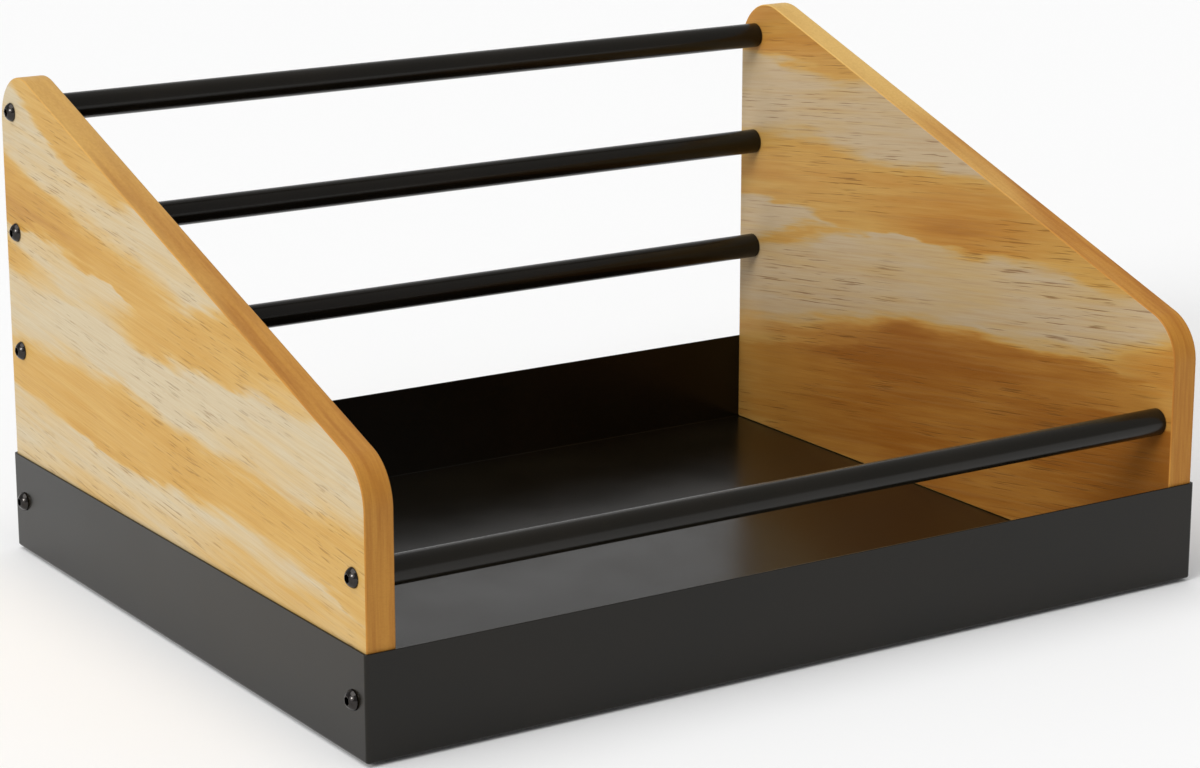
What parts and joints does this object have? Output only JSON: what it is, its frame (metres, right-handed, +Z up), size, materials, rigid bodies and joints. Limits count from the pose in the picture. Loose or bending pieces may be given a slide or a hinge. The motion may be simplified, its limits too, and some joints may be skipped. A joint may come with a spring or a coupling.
{
  "type": "desk hutch",
  "caption": "Desktop hutch: sloped pine side panels in a shallow black steel tray, joined by round black rods across the front and back.",
  "frame": {"origin": "centre of the footprint, on the surface the hutch stands on, which is the underside of its pads", "axes": "+X along the front from left to right, +Y from front to back, +Z up"},
  "size_m": [0.527, 0.41, 0.2748],
  "materials": {
    "powder_coat": "fine-textured satin black powder coat on steel",
    "pine": "clear satin lacquer on pine with pale and orange growth bands",
    "black_oxide": "black oxide steel, slightly glossy",
    "zinc_plate": "bright zinc-plated steel",
    "rubber": "matt black rubber"
  },
  "bodies": {
    "root": {"tray": "powder_coat", "left_side_panel": "pine", "right_side_panel": "pine", "back_rod_upper": "powder_coat", "back_rod_upper_left_plug": "zinc_plate", "back_rod_upper_left_screw": "black_oxide", "back_rod_upper_right_plug": "zinc_plate", "back_rod_upper_right_screw": "black_oxide", "back_rod_middle": "powder_coat", "back_rod_middle_left_plug": "zinc_plate", "back_rod_middle_left_screw": "black_oxide", "back_rod_middle_right_plug": "zinc_plate", "back_rod_middle_right_screw": "black_oxide", "back_rod_lower": "powder_coat", "back_rod_lower_left_plug": "zinc_plate", "back_rod_lower_left_screw": "black_oxide", "back_rod_lower_right_plug": "zinc_plate", "back_rod_lower_right_screw": "black_oxide", "front_rod": "powder_coat", "front_rod_left_plug": "zinc_plate", "front_rod_left_screw": "black_oxide", "front_rod_right_plug": "zinc_plate", "front_rod_right_screw": "black_oxide", "panel_insert_front_left": "zinc_plate", "tray_screw_front_left": "black_oxide", "foot_pad_front_left": "rubber", "panel_insert_back_left": "zinc_plate", "tray_screw_back_left": "black_oxide", "foot_pad_back_left": "rubber", "panel_insert_front_right": "zinc_plate", "tray_screw_front_right": "black_oxide", "foot_pad_front_right": "rubber", "panel_insert_back_right": "zinc_plate", "tray_screw_back_right": "black_oxide", "foot_pad_back_right": "rubber"}
  },
  "joints": []
}
